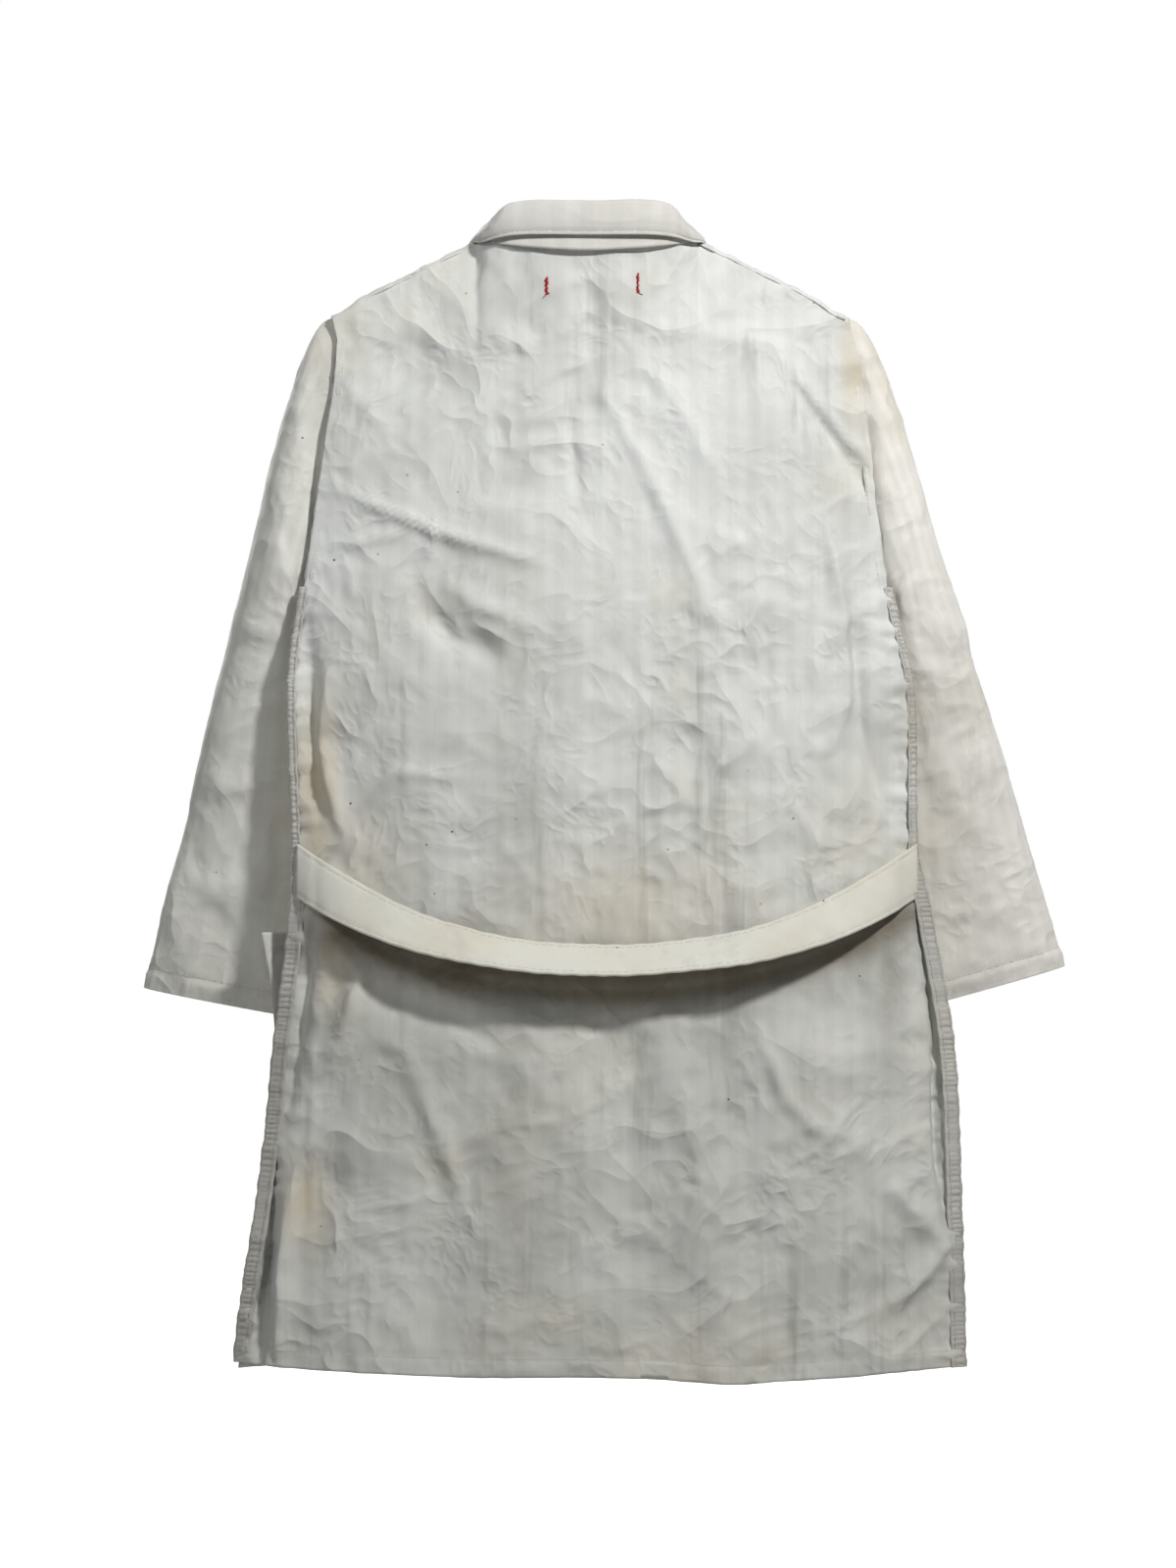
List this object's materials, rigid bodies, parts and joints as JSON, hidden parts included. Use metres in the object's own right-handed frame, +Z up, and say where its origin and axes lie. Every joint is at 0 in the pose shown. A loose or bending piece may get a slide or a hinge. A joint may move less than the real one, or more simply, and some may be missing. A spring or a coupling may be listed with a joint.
{
  "type": "lab coat",
  "caption": "Long-sleeved knee-length cotton lab coat hanging open, with a notched collar, patch pockets and a sewn-in half belt across the back.",
  "frame": {"origin": "midway between the neck ends of the two shoulder seams, where the coat rests on a hanger", "axes": "+X to the wearer's right, +Y forward, +Z up"},
  "size_m": [0.8382, 0.2174, 1.0452],
  "materials": {
    "twill": "matt washed herringbone twill, worn and soiled",
    "belt_twill": "matt cream herringbone twill",
    "label_tape": "matt cotton tape",
    "red_thread": "slightly shiny sewing thread",
    "cream_thread": "slightly shiny sewing thread",
    "button_urea": "polished, lightly worn"
  },
  "bodies": {
    "coat_body": {"back_panel": "twill", "back_neck_facing": "twill", "neck_label_blank": "label_tape", "bar_tack_left": "red_thread", "bar_tack_right": "red_thread", "side_seam_left": "twill", "side_seam_right": "twill", "shoulder_seam_left": "twill", "shoulder_seam_right": "twill", "belt_end_left": "belt_twill", "belt_end_right": "belt_twill", "front_top_left": "twill", "front_top_right": "twill", "lapel_left": "twill", "lapel_right": "twill", "breast_pocket": "twill", "breast_pocket_hem": "twill", "collar_stand": "twill", "under_collar": "twill", "collar_fall": "twill", "sleeve_cap_left": "twill", "sleeve_cap_right": "twill"},
    "back_belt_body": {"back_belt": "belt_twill"},
    "hang_loop_body": {"hang_loop": "label_tape"},
    "sleeve_left_body": {"sleeve_left": "twill", "cuff_hem_left": "twill"},
    "sleeve_right_body": {"sleeve_right": "twill", "cuff_hem_right": "twill"},
    "front_left_body": {"front_panel_left": "twill", "front_facing_left": "twill", "lower_pocket_left": "twill", "pocket_tack_left_outer": "cream_thread", "pocket_tack_left_inner": "cream_thread", "buttonhole_1": "cream_thread", "buttonhole_2": "cream_thread", "buttonhole_3": "cream_thread", "buttonhole_4": "cream_thread", "buttonhole_5": "cream_thread"},
    "front_right_body": {"front_panel_right": "twill", "front_facing_right": "twill", "lower_pocket_right": "twill", "pocket_tack_right_outer": "cream_thread", "pocket_tack_right_inner": "cream_thread", "button_shank_1": "cream_thread", "button_shank_2": "cream_thread", "button_shank_3": "cream_thread", "button_shank_4": "cream_thread", "button_shank_5": "cream_thread"},
    "button_1_body": {"button_1": "button_urea"},
    "button_2_body": {"button_2": "button_urea"},
    "button_3_body": {"button_3": "button_urea"},
    "button_4_body": {"button_4": "button_urea"},
    "button_5_body": {"button_5": "button_urea"}
  },
  "joints": [
    {"name": "belt_swing", "type": "hinge", "parent": "coat_body", "child": "back_belt_body", "pos_m": [0.016, -0.008, -0.533], "axis": [-1, 0, 0], "range_deg": [0, 50]},
    {"name": "sleeve_left_raise", "type": "hinge", "parent": "coat_body", "child": "sleeve_left_body", "pos_m": [-0.308, 0.036, -0.268], "axis": [0, 1, 0], "range_deg": [0, 60]},
    {"name": "sleeve_right_raise", "type": "hinge", "parent": "coat_body", "child": "sleeve_right_body", "pos_m": [0.32, 0.036, -0.268], "axis": [0, -1, 0], "range_deg": [0, 60]},
    {"name": "front_left_open", "type": "hinge", "parent": "coat_body", "child": "front_left_body", "pos_m": [-0.256, 0, -0.252], "axis": [0.072, 0, 0.9974], "range_deg": [0, 35], "stiffness_Nm_per_rad": 0.02, "springref_deg": -20.05},
    {"name": "front_right_open", "type": "hinge", "parent": "coat_body", "child": "front_right_body", "pos_m": [0.278, 0, -0.252], "axis": [0.0799, 0, -0.9968], "range_deg": [0, 35], "stiffness_Nm_per_rad": 0.02, "springref_deg": -20.05},
    {"name": "hang_loop_flip", "type": "hinge", "parent": "coat_body", "child": "hang_loop_body", "pos_m": [0.0045, -0.0225, -0.0352], "axis": [1, 0, 0], "range_deg": [0, 100]},
    {"name": "button_1_turn", "type": "hinge", "parent": "front_right_body", "child": "button_1_body", "pos_m": [0.04362, 0.05052, -0.275], "axis": [0, 1, 0], "range_deg": [-40, 40], "stiffness_Nm_per_rad": 0.0004},
    {"name": "button_2_turn", "type": "hinge", "parent": "front_right_body", "child": "button_2_body", "pos_m": [0.04817, 0.05478, -0.4], "axis": [0, 1, 0], "range_deg": [-40, 40], "stiffness_Nm_per_rad": 0.0004},
    {"name": "button_3_turn", "type": "hinge", "parent": "front_right_body", "child": "button_3_body", "pos_m": [0.05441, 0.05758, -0.525], "axis": [0, 1, 0], "range_deg": [-40, 40], "stiffness_Nm_per_rad": 0.0004},
    {"name": "button_4_turn", "type": "hinge", "parent": "front_right_body", "child": "button_4_body", "pos_m": [0.06142, 0.06109, -0.65], "axis": [0, 1, 0], "range_deg": [-40, 40], "stiffness_Nm_per_rad": 0.0004},
    {"name": "button_5_turn", "type": "hinge", "parent": "front_right_body", "child": "button_5_body", "pos_m": [0.06823, 0.06422, -0.775], "axis": [0, 1, 0], "range_deg": [-40, 40], "stiffness_Nm_per_rad": 0.0004}
  ]
}
